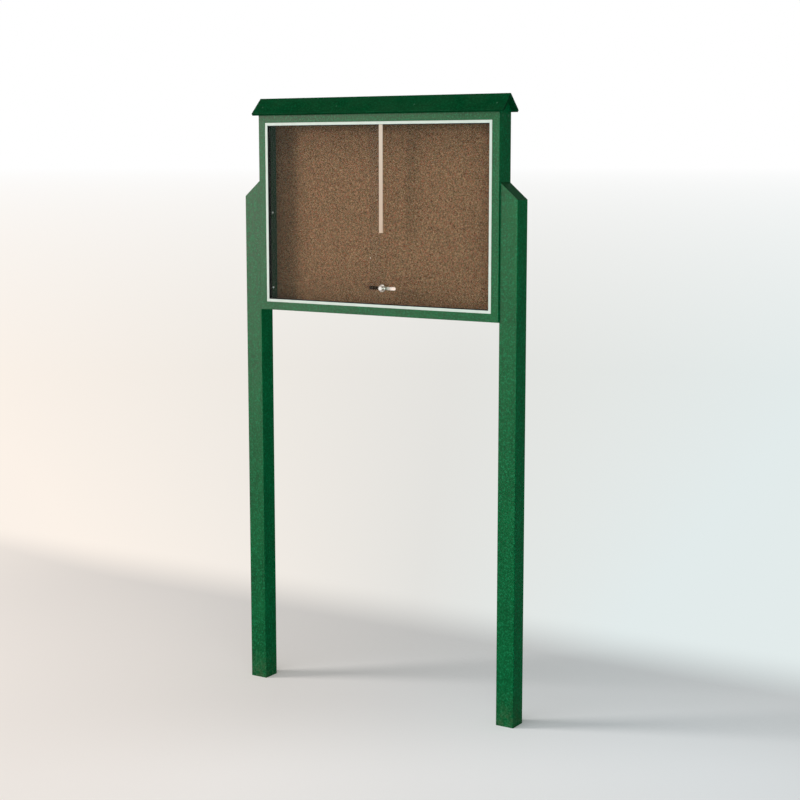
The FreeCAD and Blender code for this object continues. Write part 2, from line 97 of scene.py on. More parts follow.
def tone(red, green, blue):
    # a colour picked on screen, 0 to 255, as the linear value that a socket takes
    def linear(part):
        part /= 255
        return part / 12.92 if part <= 0.04045 else ((part + 0.055) / 1.055) ** 2.4
    return (linear(red), linear(green), linear(blue), 1.0)


def addNode(tree, kind, values=None, **settings):
    made = tree.nodes.new(kind)
    for key, value in settings.items():
        setattr(made, key, value)
    for key, value in (values or {}).items():
        if isinstance(value, bpy.types.NodeSocket):
            tree.links.new(value, made.inputs[key])
        else:
            made.inputs[key].default_value = value
    return made


def sums(tree, operation, first, second=0.0, third=0.0):
    return addNode(tree, "ShaderNodeMath", {0: first, 1: second, 2: third},
                   operation=operation).outputs[0]


def vectors(tree, operation, *given):
    # a vector comes out, or a number where the operation gives one
    made = addNode(tree, "ShaderNodeVectorMath", dict(enumerate(given)), operation=operation)
    return made.outputs["Value" if operation in ("DOT_PRODUCT", "LENGTH") else "Vector"]


def axisOf(tree, vector, axis):
    return addNode(tree, "ShaderNodeSeparateXYZ", {0: vector}).outputs[axis]


def noise(tree, spot, scale, detail=3.0, rough=0.5):
    return addNode(tree, "ShaderNodeTexNoise", {
        "Vector": spot, "Scale": scale, "Detail": detail, "Roughness": rough}).outputs[0]


def remap(tree, value, low, high, toLow=0.0, toHigh=1.0, kind="LINEAR"):
    return addNode(tree, "ShaderNodeMapRange", {
        0: value, 1: low, 2: high, 3: toLow, 4: toHigh}, interpolation_type=kind).outputs[0]


def blendTone(tree, amount, first, second):
    return addNode(tree, "ShaderNodeMix", {0: amount, 6: first, 7: second},
                   data_type="RGBA").outputs[2]


def objectSpot(tree):
    return addNode(tree, "ShaderNodeTexCoord").outputs["Object"]


def stretched(tree, spot, scale, centre=(0, 0, 0)):
    # measured from a centre, then scaled along each axis
    return vectors(tree, "MULTIPLY", vectors(tree, "SUBTRACT", spot, centre), scale)


def newGroup(name, given, made):
    tree = bpy.data.node_groups.new(name, "ShaderNodeTree")
    for label, kind, value in given:
        socket = tree.interface.new_socket(label, in_out="INPUT", socket_type=kind)
        socket.default_value = value
    for label in made:
        tree.interface.new_socket(label, in_out="OUTPUT", socket_type="NodeSocketFloat")
    enter = tree.nodes.new("NodeGroupInput").outputs
    leave = tree.nodes.new("NodeGroupOutput").inputs
    return tree, enter, leave


def placeGroup(tree, group, values):
    return addNode(tree, "ShaderNodeGroup", values, node_tree=group).outputs


# shared effects

boardRelief = {
    "gritScale": 1300.0,
    "pinholeScale": 210.0,
    "pinholeReach": (0.10, 0.24),    # from its middle to its rim, in cells
    "streakHeight": 0.25,
    "fleckHeight": 0.5,
    "gritHeight": 0.5,
    "pinholeHeight": -0.6,
}


def makeBoardGrain(relief):
    # moulded plastic board: flow streaks along it, flecks, pinholes
    tree, given, made = newGroup("boardGrain", [
        ("Along", "NodeSocketVector", (1, 1, 1)),
        ("Streak Scale", "NodeSocketFloat", 60.0),
        ("Fleck Scale", "NodeSocketFloat", 150.0)],
        ["Streak", "Fleck", "Pinhole", "Height"])
    spot = objectSpot(tree)
    drawn = vectors(tree, "MULTIPLY", spot, given["Along"])
    streak = remap(tree, noise(tree, drawn, given["Streak Scale"], 5, 0.6), 0.32, 0.68)
    fleck = remap(tree, noise(tree, spot, given["Fleck Scale"], 4, 0.75), 0.36, 0.64)
    grit = noise(tree, spot, relief["gritScale"], 2, 0.6)
    cells = addNode(tree, "ShaderNodeTexVoronoi", {"Vector": spot,
                                                   "Scale": relief["pinholeScale"]})
    pinhole = remap(tree, cells.outputs["Distance"], *relief["pinholeReach"], 1.0, 0.0)
    height = sums(tree, "MULTIPLY", streak, relief["streakHeight"])
    for part, share in ((fleck, "fleckHeight"), (grit, "gritHeight"),
                        (pinhole, "pinholeHeight")):
        height = sums(tree, "MULTIPLY_ADD", part, relief[share], height)
    for name, value in (("Streak", streak), ("Fleck", fleck), ("Pinhole", pinhole),
                        ("Height", height)):
        tree.links.new(value, made[name])
    return tree


def makeEdgeRub():
    # 1 along outside corners that hands and weather reach, broken up by noise
    tree, given, made = newGroup("edgeRub", [
        ("Width", "NodeSocketFloat", 0.003),
        ("Breakup Scale", "NodeSocketFloat", 45.0)],
        ["Rub"])
    flat, corner = 0.995, 0.88    # how far the rounded normal agrees with the face
    facing = addNode(tree, "ShaderNodeNewGeometry").outputs["Normal"]
    rounded = addNode(tree, "ShaderNodeBevel", {"Radius": given["Width"]}, samples=4).outputs[0]
    edge = remap(tree, vectors(tree, "DOT_PRODUCT", facing, rounded), flat, corner)
    patchy = remap(tree, noise(tree, objectSpot(tree), given["Breakup Scale"], 4, 0.7), 0.38, 0.62)
    tree.links.new(sums(tree, "MULTIPLY", edge, patchy), made["Rub"])
    return tree


def makeSettledDust():
    # on what faces up, in clouds
    tree, given, made = newGroup("settledDust", [
        ("Cloud Scale", "NodeSocketFloat", 9.0),
        ("Fine Scale", "NodeSocketFloat", 260.0)],
        ["Dust"])
    steepest, level = 0.25, 1.0    # Z of the normal, where dust begins to lie and where it is full
    facing = addNode(tree, "ShaderNodeNewGeometry").outputs["Normal"]
    held = remap(tree, axisOf(tree, facing, "Z"), steepest, level)
    spot = objectSpot(tree)
    clouds = remap(tree, noise(tree, spot, given["Cloud Scale"], 4, 0.6), 0.35, 0.7)
    specks = remap(tree, noise(tree, spot, given["Fine Scale"], 2, 0.6), 0.3, 0.7, 0.5, 1.0)
    tree.links.new(sums(tree, "MULTIPLY", held, sums(tree, "MULTIPLY", clouds, specks)),
                   made["Dust"])
    return tree


def makeHairlines():
    # fine straight scratches along one axis, for metal and clear sheet
    tree, given, made = newGroup("hairlines", [
        ("Along", "NodeSocketVector", (1, 1, 1)),
        ("Scale", "NodeSocketFloat", 900.0),
        ("Coverage", "NodeSocketFloat", 0.4)],
        ["Line"])
    bare, full, softness = 0.75, 0.35, 0.12    # noise level where a line starts, and its ramp
    drawn = vectors(tree, "MULTIPLY", objectSpot(tree), given["Along"])
    lines = noise(tree, drawn, given["Scale"], 3, 0.7)
    threshold = remap(tree, given["Coverage"], 0.0, 1.0, bare, full)
    edge = sums(tree, "ADD", threshold, softness)
    tree.links.new(remap(tree, lines, threshold, edge), made["Line"])
    return tree


boardGrain = makeBoardGrain(boardRelief)
edgeRub = makeEdgeRub()
settledDust = makeSettledDust()
hairlines = makeHairlines()
print("shared effects built")


# screws: one turned mesh for each kind, set out by Geometry Nodes

driveRecess = {
    "lobes": 6,
    "lobeDepth": 0.13,     # of its radius
    "floor": 0.80,         # radius at the floor, in radii
    "mouth": 1.12,         # and at the mouth
    "mouthDepth": 0.2,     # share of its depth that the mouth takes to widen
    "centre": 1.15,        # depth in the middle of its floor, in depths
}
creaseAngle = math.radians(38)    # flatter edges are shaded smooth


def turnedScrew(name, spec, recess):
    # rings of points about Z, from the floor of the drive recess out and down to the tip
    count = spec["sides"]
    wide, deep, top = spec["driveRadius"], spec["driveDepth"], spec["top"]
    rings = [(wide * recess["floor"], top - deep, True),
             (wide, top - deep * recess["mouthDepth"], True),
             (wide * recess["mouth"], top, True)]
    rings += [(radius, height, False) for radius, height in spec["outline"]]
    build = bmesh.new()
    loops = []
    for radius, height, lobed in rings:
        loop = []
        for step in range(count):
            turn = 2 * math.pi * step / count
            wave = recess["lobeDepth"] * math.cos(recess["lobes"] * turn) if lobed else 0.0
            reach = radius * (1 + wave)
            loop.append(build.verts.new((reach * math.cos(turn), reach * math.sin(turn), height)))
        loops.append(loop)
    floorPoint = build.verts.new((0, 0, top - deep * recess["centre"]))
    tip = build.verts.new((0, 0, -spec["length"]))
    for inner, outer in zip(loops, loops[1:]):
        for step in range(count):
            after = (step + 1) % count
            build.faces.new((inner[step], outer[step], outer[after], inner[after]))
    for step in range(count):
        after = (step + 1) % count
        build.faces.new((floorPoint, loops[0][step], loops[0][after]))
        build.faces.new((tip, loops[-1][after], loops[-1][step]))
    bmesh.ops.recalc_face_normals(build, faces=build.faces)
    for face in build.faces:
        face.smooth = True
    for edge in build.edges:
        edge.smooth = edge.calc_face_angle(0.0) < creaseAngle
    mesh = bpy.data.meshes.new(name)
    build.to_mesh(mesh)
    build.free()
    return bpy.data.objects.new(name, mesh)


def makeScrewSetter():
    # a screw on every point, its head along the point's outward vector, turned as it came to rest
    tree = bpy.data.node_groups.new("screwSetter", "GeometryNodeTree")
    sockets = {}
    for label, kind in (("Points", "NodeSocketGeometry"), ("Screw", "NodeSocketObject"),
                        ("Seed", "NodeSocketInt"), ("Depth Spread", "NodeSocketFloat"),
                        ("Lean", "NodeSocketFloat"), ("Finish", "NodeSocketMaterial")):
        sockets[label] = tree.interface.new_socket(label, in_out="INPUT",
                                                   socket_type=kind).identifier
    tree.interface.new_socket("Screws", in_out="OUTPUT", socket_type="NodeSocketGeometry")
    given = tree.nodes.new("NodeGroupInput").outputs
    fullTurn = 6.2832
    leanDraw, depthDraw = 7.0, 3.0    # added to the seed, so that the three draws differ
    outward = addNode(tree, "GeometryNodeInputNamedAttribute", {"Name": "outward"},
                      data_type="FLOAT_VECTOR").outputs["Attribute"]
    upright = addNode(tree, "FunctionNodeAlignRotationToVector", {"Vector": outward}, axis="Z")
    spin = addNode(tree, "FunctionNodeRandomValue", {"Min": (0, 0, 0), "Max": (0, 0, fullTurn),
                                                     "Seed": given["Seed"]},
                   data_type="FLOAT_VECTOR")
    lean = addNode(tree, "FunctionNodeRandomValue", {
        "Min": (-1, -1, 0), "Max": (1, 1, 0), "Seed": sums(tree, "ADD", given["Seed"], leanDraw)},
        data_type="FLOAT_VECTOR")
    tilt = addNode(tree, "ShaderNodeVectorMath", {0: lean.outputs[0], 3: given["Lean"]},
                   operation="SCALE")
    turn = addNode(tree, "ShaderNodeVectorMath", {0: spin.outputs[0], 1: tilt.outputs[0]},
                   operation="ADD")
    pose = addNode(tree, "FunctionNodeRotateRotation", {
        "Rotation": upright.outputs[0], "Rotate By": turn.outputs[0]}, rotation_space="LOCAL")
    depth = addNode(tree, "FunctionNodeRandomValue", {
        2: -1.0, 3: 0.0, "Seed": sums(tree, "ADD", given["Seed"], depthDraw)}, data_type="FLOAT")
    sunk = addNode(tree, "ShaderNodeVectorMath", {
        0: outward, 3: sums(tree, "MULTIPLY", depth.outputs[1], given["Depth Spread"])},
        operation="SCALE")
    spots = addNode(tree, "GeometryNodeSetPosition", {"Geometry": given["Points"],
                                                      "Offset": sunk.outputs[0]})
    screw = addNode(tree, "GeometryNodeObjectInfo", {"Object": given["Screw"]})
    placed = addNode(tree, "GeometryNodeInstanceOnPoints", {
        "Points": spots.outputs[0], "Instance": screw.outputs["Geometry"],
        "Rotation": pose.outputs[0]})
    real = addNode(tree, "GeometryNodeRealizeInstances", {"Geometry": placed.outputs[0]})
    dressed = addNode(tree, "GeometryNodeSetMaterial", {"Geometry": real.outputs[0],
                                                        "Material": given["Finish"]})
    leave = tree.nodes.new("NodeGroupOutput")
    tree.links.new(dressed.outputs[0], leave.inputs[0])
    return tree, sockets


screwSetter, screwSockets = makeScrewSetter()


def setScrews(name, spec, places, finish):
    mesh = bpy.data.meshes.new(name + "Points")
    mesh.from_pydata([spot for spot, away in places], [], [])
    outward = mesh.attributes.new("outward", "FLOAT_VECTOR", "POINT")
    for index, (spot, away) in enumerate(places):
        outward.data[index].vector = Vector(away).normalized()
    carrier = bpy.data.objects.new(name + "Points", mesh)
    scene.collection.objects.link(carrier)
    pattern = turnedScrew(name + "Pattern", spec, driveRecess)
    scene.collection.objects.link(pattern)
    setter = carrier.modifiers.new("screwSetter", "NODES")
    setter.node_group = screwSetter
    setter[screwSockets["Screw"]] = pattern
    setter[screwSockets["Seed"]] = spec["seed"]
    setter[screwSockets["Depth Spread"]] = spec["depthSpread"]
    setter[screwSockets["Lean"]] = spec["lean"]
    setter[screwSockets["Finish"]] = finish
    ready = carrier.evaluated_get(bpy.context.evaluated_depsgraph_get())
    result = bpy.data.objects.new(name, bpy.data.meshes.new_from_object(ready))
    for spare in (carrier, pattern):
        carried = spare.data
        bpy.data.objects.remove(spare)
        bpy.data.meshes.remove(carried)
    scene.collection.objects.link(result)
    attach(result, "stand")
    return result


# materials

def newMaterial(name):
    material = bpy.data.materials.new(name)
    material.use_nodes = True
    tree = material.node_tree
    tree.nodes.clear()
    return material, tree


def finishSurface(tree, values, height=None, depth=0.0, spread=0.001):
    # the shader itself, with its bump, wired to the output
    shader = addNode(tree, "ShaderNodeBsdfPrincipled", values)
    if height is not None:
        bump = addNode(tree, "ShaderNodeBump", {"Height": height, "Strength": depth,
                                                "Distance": spread})
        tree.links.new(bump.outputs[0], shader.inputs["Normal"])
    out = tree.nodes.new("ShaderNodeOutputMaterial")
    tree.links.new(shader.outputs[0], out.inputs["Surface"])
    return shader


boardLook = {
    "deep": tone(0, 57, 29),
    "body": tone(0, 87, 45),
    "fleck": tone(18, 116, 74),
    "sawn": tone(4, 60, 29),
    "rub": tone(40, 96, 66),
    "dust": tone(110, 120, 98),
    "soil": tone(78, 70, 52),
    "inner": tone(46, 60, 48),     # painted shade: faces within the cabinet, darker and greyer
    "specular": 0.010,
    "roughness": (0.34, 0.46),
    "matting": 0.3,                # more roughness where it is sawn or soiled
    "bump": 0.64,
    "bumpDepth": 0.0008,
    "patchScale": 6.0,
    "patching": 0.35,              # share of the body colour over the deep one
    "streaking": 0.35,
    "fleckScale": 120.0,
    "flecking": 0.7,
    "brightFleck": (0.55, 1.0, 0.6),    # from, to and share
    "pinholing": 0.5,
    "rubbing": 0.4,
    "rubWidth": 0.0035,
    "dusting": 0.12,
    "sawnZ": (0.5, 0.55),          # faces that look further up than this are sawn
    "kerfScale": (420.0, 14.0, 420.0),
    "kerfDepth": 0.8,
    "splashZ": (0.0, 0.22),        # rain throws soil up to this height
    "soiling": 0.35,
    "innerX": (0.6125, 0.6100),
    "innerShadeSpread": (0.75, 1.0),
}


def makeBoard(name, along, look, sawnTop=False, soiledFoot=False, paintedInnerShade=False):
    material, tree = newMaterial(name)
    grain = placeGroup(tree, boardGrain, {"Along": along, "Fleck Scale": look["fleckScale"]})
    rub = placeGroup(tree, edgeRub, {"Width": look["rubWidth"]})["Rub"]
    dust = placeGroup(tree, settledDust, {})["Dust"]
    spot = objectSpot(tree)
    patches = remap(tree, noise(tree, spot, look["patchScale"], 3, 0.6), 0.35, 0.65)
    light = sums(tree, "MULTIPLY_ADD", grain["Streak"], look["streaking"],
                 sums(tree, "MULTIPLY", patches, look["patching"]))
    colour = blendTone(tree, light, look["deep"], look["body"])
    colour = blendTone(tree, sums(tree, "MULTIPLY", grain["Fleck"], look["flecking"]), colour,
                       look["body"])
    start, end, share = look["brightFleck"]
    colour = blendTone(tree, remap(tree, grain["Fleck"], start, end, 0.0, share), colour,
                       look["fleck"])
    colour = blendTone(tree, sums(tree, "MULTIPLY", grain["Pinhole"], look["pinholing"]), colour,
                       look["deep"])
    rough = remap(tree, grain["Fleck"], 0.0, 1.0, *look["roughness"])
    height = grain["Height"]
    facing = addNode(tree, "ShaderNodeNewGeometry").outputs["True Normal"]
    if sawnTop:
        # kerf marks run across the bevel, square to the saw's travel
        sawn = remap(tree, axisOf(tree, facing, "Z"), *look["sawnZ"])
        kerf = noise(tree, stretched(tree, spot, look["kerfScale"]), 1.0, 3, 0.7)
        kerf = remap(tree, kerf, 0.35, 0.65)
        cut = blendTone(tree, kerf, look["sawn"], look["deep"])
        colour = blendTone(tree, sawn, colour, cut)
        rough = sums(tree, "MULTIPLY_ADD", sawn, look["matting"], rough)
        height = sums(tree, "MULTIPLY_ADD", sums(tree, "MULTIPLY", sawn, kerf),
                      look["kerfDepth"], height)
    if soiledFoot:
        splash = remap(tree, axisOf(tree, spot, "Z"), *look["splashZ"], 1.0, 0.0)
        splash = sums(tree, "MULTIPLY", sums(tree, "MULTIPLY", splash, splash),
                      remap(tree, noise(tree, spot, 60.0, 5, 0.7), 0.4, 0.62))
        colour = blendTone(tree, sums(tree, "MULTIPLY", splash, look["soiling"]), colour,
                           look["soil"])
        rough = sums(tree, "MULTIPLY_ADD", splash, look["matting"], rough)
    # painted shade on the side boards' faces within the cabinet, darker and greyer, broken up by
    # noise
    if paintedInnerShade:
        sideways = sums(tree, "ABSOLUTE", axisOf(tree, facing, "X"))
        reach = sums(tree, "ABSOLUTE", axisOf(tree, spot, "X"))
        inside = sums(tree, "MULTIPLY", remap(tree, reach, *look["innerX"]),
                      remap(tree, sideways, 0.5, 0.9))
        innerShadeBreakup = remap(tree, noise(tree, spot, 30.0, 4, 0.6), 0.3, 0.7, *look["innerShadeSpread"])
        colour = blendTone(tree, sums(tree, "MULTIPLY", innerShadeBreakup, inside), colour, look["inner"])
    colour = blendTone(tree, sums(tree, "MULTIPLY", rub, look["rubbing"]), colour, look["rub"])
    colour = blendTone(tree, sums(tree, "MULTIPLY", dust, look["dusting"]), colour,
                       look["dust"])
    finishSurface(tree, {"Base Color": colour, "Roughness": rough,
                         "Specular IOR Level": look["specular"]},
                  height, look["bump"], look["bumpDepth"])
    return material


corkLook = {
    "dark": tone(61, 43, 29),
    "mid": tone(114, 84, 58),
    "light": tone(163, 132, 98),
    "red": tone(146, 81, 58),
    "olive": tone(106, 94, 60),
    "binder": tone(55, 39, 26),
    "granule": 215.0,          # cells per metre
    "crumb": 520.0,
    "wobbleScale": 300.0,      # bends the cells' straight sides
    "wobble": (0.004, 0.004, 0.004),
    "evening": 0.15,           # pulls every granule towards the mid tone
    "colouring": 0.6,          # share of the olive, red and dark ones
    "lightCrumb": 0.5,
    "clumpScale": 130.0,
    "clumping": 0.1,
    "seamWidth": 0.10,
    "seaming": 0.6,
    "middle": (0.0, 0.0, 2.286),
    "edgeShadeX": (0.36, 0.60),    # painted shade: darker over these distances from the middle, towards the sheet's edges
    "rampZ": (0.17, 0.41),
    "edgeShade": 0.2,
    "roughness": 0.92,
    "specular": 0.1,
    "bump": 0.5,
    "bumpDepth": 0.0012,
}


def makeCork(look):
    material, tree = newMaterial("corkSheet")
    spot = objectSpot(tree)
    wobble = addNode(tree, "ShaderNodeTexNoise", {"Vector": spot, "Scale": look["wobbleScale"],
                                                  "Detail": 2.0})
    bent = vectors(tree, "MULTIPLY_ADD", wobble.outputs["Color"], look["wobble"], spot)
    grains = addNode(tree, "ShaderNodeTexVoronoi", {"Vector": bent, "Scale": look["granule"]})
    crumbs = addNode(tree, "ShaderNodeTexVoronoi", {"Vector": bent, "Scale": look["crumb"]})
    seams = addNode(tree, "ShaderNodeTexVoronoi", {"Vector": bent, "Scale": look["granule"]},
                    feature="DISTANCE_TO_EDGE").outputs[0]
    parts = addNode(tree, "ShaderNodeSeparateColor", {0: grains.outputs["Color"]}).outputs
    small = addNode(tree, "ShaderNodeSeparateColor", {0: crumbs.outputs["Color"]}).outputs
    colour = blendTone(tree, parts[0], look["dark"], look["light"])
    colour = blendTone(tree, look["evening"], colour, look["mid"])
    # each draw, the stretch of it that changes colour, the share and the colour
    for draw, start, end, share, name in (
            (parts[1], 0.72, 0.9, "colouring", "olive"),
            (parts[1], 0.28, 0.1, "colouring", "red"),
            (small[0], 0.7, 1.0, "colouring", "dark"),
            (small[1], 0.75, 1.0, "lightCrumb", "light")):
        colour = blendTone(tree, remap(tree, draw, start, end, 0.0, look[share]), colour,
                           look[name])
    clump = remap(tree, noise(tree, spot, look["clumpScale"], 4, 0.7), 0.4, 0.62,
                  0.0, look["clumping"])
    colour = blendTone(tree, clump, colour, look["dark"])
    # painted shade towards the cork's edges, where the cabinet's sides, frame and roof shade it
    reach = vectors(tree, "SUBTRACT", spot, look["middle"])
    side = remap(tree, sums(tree, "ABSOLUTE", axisOf(tree, reach, "X")), *look["edgeShadeX"],
                 kind="SMOOTHSTEP")
    ends = remap(tree, sums(tree, "ABSOLUTE", axisOf(tree, reach, "Z")), *look["rampZ"],
                 kind="SMOOTHSTEP")
    paintedEdgeShade = sums(tree, "MULTIPLY", sums(tree, "MAXIMUM", side, ends), look["edgeShade"])
    colour = blendTone(tree, paintedEdgeShade, colour, look["dark"])
    seam = remap(tree, seams, 0.0, look["seamWidth"], look["seaming"], 0.0)
    colour = blendTone(tree, seam, colour, look["binder"])
    height = sums(tree, "MULTIPLY_ADD", small[2], 0.5, sums(tree, "MULTIPLY", parts[2], 0.5))
    height = sums(tree, "SUBTRACT", height, seam)
    finishSurface(tree, {"Base Color": colour, "Roughness": look["roughness"],
                         "Specular IOR Level": look["specular"]},
                  height, look["bump"], look["bumpDepth"])
    return material


anyEnamel = {
    "clouding": 0.35,
    "rubWidth": 0.0007,
    "rubBreakup": 160.0,
    "rubbing": 0.3,
    "dustClouds": 30.0,
    "dusting": 0.4,
    "peelScale": 700.0,
    "roughness": (0.3, 0.42),
    "dustRoughness": 0.3,
    "bump": 0.12,
    "bumpDepth": 0.0003,
}
whiteEnamel = {
    **anyEnamel,
    "paint": tone(187, 196, 186),
    "shade": tone(166, 174, 163),
    "metal": tone(150, 152, 150),
    "dust": tone(120, 116, 100),
    "specular": 0.15,
    "cloudScale": 22.0,
}
darkEnamel = {
    **anyEnamel,
    "paint": tone(20, 24, 20),
    "shade": tone(34, 38, 33),
    "metal": tone(96, 98, 94),
    "dust": tone(84, 80, 68),
    "specular": 0.08,
    "cloudScale": 30.0,
}
screwEnamel = {
    **anyEnamel,
    "paint": tone(10, 74, 44),
    "shade": tone(24, 86, 56),
    "metal": tone(120, 126, 118),
    "dust": tone(84, 86, 70),
    "specular": 0.1,
    "cloudScale": 260.0,
}


def makeEnamel(name, look):
    material, tree = newMaterial(name)
    spot = objectSpot(tree)
    cloudy = remap(tree, noise(tree, spot, look["cloudScale"], 4, 0.6), 0.4, 0.7,
                   0.0, look["clouding"])
    colour = blendTone(tree, cloudy, look["paint"], look["shade"])
    rub = placeGroup(tree, edgeRub, {"Width": look["rubWidth"],
                                     "Breakup Scale": look["rubBreakup"]})["Rub"]
    dust = placeGroup(tree, settledDust, {"Cloud Scale": look["dustClouds"]})["Dust"]
    colour = blendTone(tree, sums(tree, "MULTIPLY", rub, look["rubbing"]), colour, look["metal"])
    colour = blendTone(tree, sums(tree, "MULTIPLY", dust, look["dusting"]), colour, look["dust"])
    peel = noise(tree, spot, look["peelScale"], 2, 0.5)
    rough = sums(tree, "MULTIPLY_ADD", dust, look["dustRoughness"],
                 remap(tree, peel, 0.3, 0.7, *look["roughness"]))
    finishSurface(tree, {"Base Color": colour, "Roughness": rough,
                         "Specular IOR Level": look["specular"]},
                  peel, look["bump"], look["bumpDepth"])
    return material


anyVinyl = {
    "gritScale": 800.0,
    "rubWidth": 0.0008,
    "rubBreakup": 220.0,
    "rubbing": 0.25,
    "flowHeight": 0.4,
    "bumpDepth": 0.0003,
}
creamVinyl = {
    **anyVinyl,
    "dark": tone(168, 145, 126),
    "light": tone(184, 161, 141),
    "upperTone": tone(183, 169, 152),
    "rampZ": (2.2, 2.62),
    "roughness": (0.35, 0.47),
    "specular": 0.2,
    "flowScale": (300.0, 300.0, 3.0),
    "bump": 0.1,
}
darkVinyl = {
    **anyVinyl,
    "dark": tone(20, 13, 7),
    "light": tone(40, 29, 18),
    "roughness": (0.55, 0.67),
    "specular": 0.06,
    "flowScale": (120.0, 120.0, 120.0),
    "bump": 0.25,
}


def makeVinyl(name, look):
    # extruded or moulded soft plastic, with its flow lines
    material, tree = newMaterial(name)
    spot = objectSpot(tree)
    flow = noise(tree, stretched(tree, spot, look["flowScale"]), 1.0, 4, 0.6)
    flow = remap(tree, flow, 0.35, 0.65)
    grit = noise(tree, spot, look["gritScale"], 3, 0.6)
    rub = placeGroup(tree, edgeRub, {"Width": look["rubWidth"],
                                     "Breakup Scale": look["rubBreakup"]})["Rub"]
    colour = blendTone(tree, flow, look["dark"], look["light"])
    # lighter and paler towards the top
    if "upperTone" in look:
        upwardShare = remap(tree, axisOf(tree, spot, "Z"), *look["rampZ"])
        colour = blendTone(tree, upwardShare, colour, look["upperTone"])
    colour = blendTone(tree, sums(tree, "MULTIPLY", rub, look["rubbing"]), colour, look["light"])
    finishSurface(tree, {"Base Color": colour,
                         "Roughness": remap(tree, grit, 0.3, 0.7, *look["roughness"]),
                         "Specular IOR Level": look["specular"]},
                  sums(tree, "MULTIPLY_ADD", flow, look["flowHeight"], grit),
                  look["bump"], look["bumpDepth"])
    return material


lockAxis = (0.0413, -0.06, 1.955)
anyMetal = {
    "along": (1, 1, 1),        # scratches run where this is small
    "stainScale": 130.0,
    "staining": 0.5,
    "stainRoughness": 0.1,
    "rubWidth": 0.0006,
    "rubBreakup": 400.0,
    "rubbing": 0.5,
    "lineRoughness": 0.15,
    "lineHeight": -0.5,
    "ringScale": 420.0,        # lathe marks
    "ringHeight": 0.25,
    "ringRoughness": 0.05,
    "bump": 0.15,
    "bumpDepth": 0.0002,
}
platedCase = {**anyMetal, "bright": (0.47, 0.44, 0.39, 1), "dull": (0.34, 0.32, 0.28, 1),
              "roughness": 0.2, "scratches": 0.2, "turnedAbout": lockAxis}
platedBar = {
    **anyMetal,
    "bright": (0.44, 0.46, 0.42, 1),
    "dull": (0.34, 0.36, 0.33, 1),
    "roughness": 0.26,
    "along": (0.04, 1, 1),
    "scratches": 0.5,
    "paintedGleam": (0.80, 0.71, 0.64, 1),
    "paintedGleamX": (0.056, 0.106),    # painted reflection: brighter towards the bar's free end
}
turnedPlug = {**anyMetal, "bright": (0.80, 0.80, 0.79, 1), "dull": (0.6, 0.6, 0.58, 1),
              "roughness": 0.2, "scratches": 0.3, "turnedAbout": lockAxis}
stainless = {**anyMetal, "bright": (0.5, 0.51, 0.5, 1), "dull": (0.33, 0.33, 0.32, 1),
             "roughness": 0.32, "scratches": 0.4, "along": (1, 1, 0.1)}
stampedBrass = {**anyMetal, "bright": (0.78, 0.56, 0.25, 1), "dull": (0.5, 0.36, 0.17, 1),
                "roughness": 0.3, "scratches": 0.4, "along": (1, 1, 0.1)}


def makeMetal(name, look):
    # bare or plated metal, scratched and stained
    material, tree = newMaterial(name)
    spot = objectSpot(tree)
    line = placeGroup(tree, hairlines, {"Along": look["along"],
                                        "Coverage": look["scratches"]})["Line"]
    stain = remap(tree, noise(tree, spot, look["stainScale"], 4, 0.65), 0.45, 0.75,
                  0.0, look["staining"])
    rub = placeGroup(tree, edgeRub, {"Width": look["rubWidth"],
                                     "Breakup Scale": look["rubBreakup"]})["Rub"]
    colour = blendTone(tree, stain, look["bright"], look["dull"])
    # painted reflection, brighter along the bar towards its free end
    if "paintedGleam" in look:
        gleamShare = remap(tree, axisOf(tree, spot, "X"), *look["paintedGleamX"], kind="SMOOTHSTEP")
        colour = blendTone(tree, gleamShare, colour, look["paintedGleam"])
    colour = blendTone(tree, sums(tree, "MULTIPLY", rub, look["rubbing"]), colour, look["bright"])
    rough = remap(tree, stain, 0.0, look["staining"], look["roughness"],
                  look["roughness"] + look["stainRoughness"])
    rough = sums(tree, "MULTIPLY_ADD", line, look["lineRoughness"], rough)
    height = sums(tree, "MULTIPLY", line, look["lineHeight"])
    if "turnedAbout" in look:
        rings = addNode(tree, "ShaderNodeTexWave", {
            "Vector": vectors(tree, "SUBTRACT", spot, look["turnedAbout"]),
            "Scale": look["ringScale"], "Distortion": 0.6, "Detail": 1.0},
            wave_type="RINGS", rings_direction="Y").outputs["Fac"]
        height = sums(tree, "MULTIPLY_ADD", rings, look["ringHeight"], height)
        rough = sums(tree, "MULTIPLY_ADD", rings, look["ringRoughness"], rough)
    finishSurface(tree, {"Base Color": colour, "Metallic": 1.0, "Roughness": rough},
                  height, look["bump"], look["bumpDepth"])
    return material


paneLook = {
    "ior": 1.49,
    "gloss": 0.13,       # share of the plain reflection that is kept, as on a coated sheet
    "passed": (0.96, 0.96, 0.955, 1.0),
    "edge": tone(120, 124, 110),
    "rim": 0.06,         # share of the edge colour on the cut edges
    "rimY": (0.9, 0.4),
    "edgeSpecular": 0.2,
    "edgeRoughness": 0.25,
    "smearScale": 7.0,
    "smearRoughness": 0.1,
    "faceRoughness": 0.03,
    "scratchAlong": (0.03, 1.0, 1.0),
    "scratchScale": 500.0,
    "scratches": 0.12,
    "scratchRoughness": 0.2,
}


